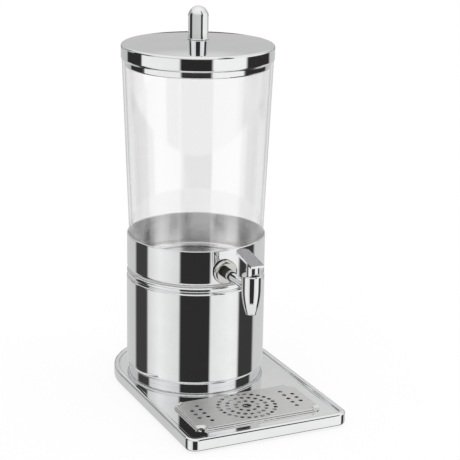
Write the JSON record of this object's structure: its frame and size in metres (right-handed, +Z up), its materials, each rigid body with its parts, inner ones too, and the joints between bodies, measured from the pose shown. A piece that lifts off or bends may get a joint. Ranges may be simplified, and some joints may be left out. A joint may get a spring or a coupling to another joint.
{
  "type": "juice dispenser",
  "caption": "Countertop juice dispenser: steel stand with drip grid, cooled pot, clear tapered tank with a lift-off lid, and a lever tap.",
  "frame": {"origin": "middle of the base on the table, under the bounding box", "axes": "+Z up, the tap and the drip grid point to -Y, +X to the right seen from the front"},
  "size_m": [0.226, 0.354, 0.52],
  "materials": {
    "polished_steel": "mirror polished",
    "satin_steel": "satin",
    "plain_steel": "plain",
    "clear_plastic": "clear",
    "black_rubber": "matte",
    "white_silicone": "matte",
    "blue_plastic": "matte",
    "white_plastic": "gloss"
  },
  "bodies": {
    "stand": {"base_tray": "polished_steel", "foot_front_left": "black_rubber", "foot_front_right": "black_rubber", "foot_back_left": "black_rubber", "foot_back_right": "black_rubber", "pedestal_ring": "polished_steel", "mounting_bosses": "plain_steel", "column_screws": "plain_steel", "screw_washers": "plain_steel", "cooler_pot": "polished_steel", "cool_pack": "blue_plastic", "cool_pack_cap": "white_plastic", "pot_seal": "white_silicone"},
    "tank_unit": {"collar_band": "polished_steel", "tank_seat_ring": "white_silicone", "tank": "clear_plastic", "tap_body": "polished_steel", "tap_bonnet": "polished_steel", "tap_shank": "polished_steel", "tap_flange": "polished_steel", "shank_sleeve": "black_rubber", "shank_ring": "polished_steel", "shank_seal": "black_rubber", "tap_grommet": "black_rubber", "tank_gasket": "white_silicone", "lock_nut": "plain_steel", "valve_spring": "plain_steel", "stem_seal": "black_rubber"},
    "lid": {"lid_cover": "polished_steel", "lid_insert": "polished_steel", "lid_knob": "polished_steel", "knob_washer": "polished_steel", "knob_screw": "plain_steel", "knob_screw_washer": "plain_steel"},
    "valve": {"valve_stem": "polished_steel", "valve_cup": "white_silicone", "lever_pin": "plain_steel"},
    "lever": {"tap_lever": "satin_steel"},
    "grid": {"drip_grid": "satin_steel"}
  },
  "joints": [
    {"name": "tank_lift", "type": "slide", "parent": "stand", "child": "tank_unit", "axis": [0, 0, 1], "range_m": [0, 0.1]},
    {"name": "lid_lift", "type": "slide", "parent": "tank_unit", "child": "lid", "axis": [0, 0, 1], "range_m": [0, 0.08]},
    {"name": "lever_tilt", "type": "hinge", "parent": "valve", "child": "lever", "pos_m": [0, -0.1124, 0.2101], "axis": [1, 0, 0], "range_deg": [0, 45], "stiffness_Nm_per_rad": 0.15, "springref_deg": -20.05},
    {"name": "valve_lift", "type": "slide", "parent": "tank_unit", "child": "valve", "axis": [0, 0, 1], "range_m": [0, 0.0043], "stiffness_N_per_m": 2, "springref_m": 0.277, "deforming": ["valve_spring"]},
    {"name": "grid_lift", "type": "slide", "parent": "stand", "child": "grid", "axis": [0, 0, 1], "range_m": [0, 0.06]}
  ],
  "couplings": [
    {"joint": "valve_lift", "follows": "lever_tilt", "m_per_rad": 0.0054}
  ]
}
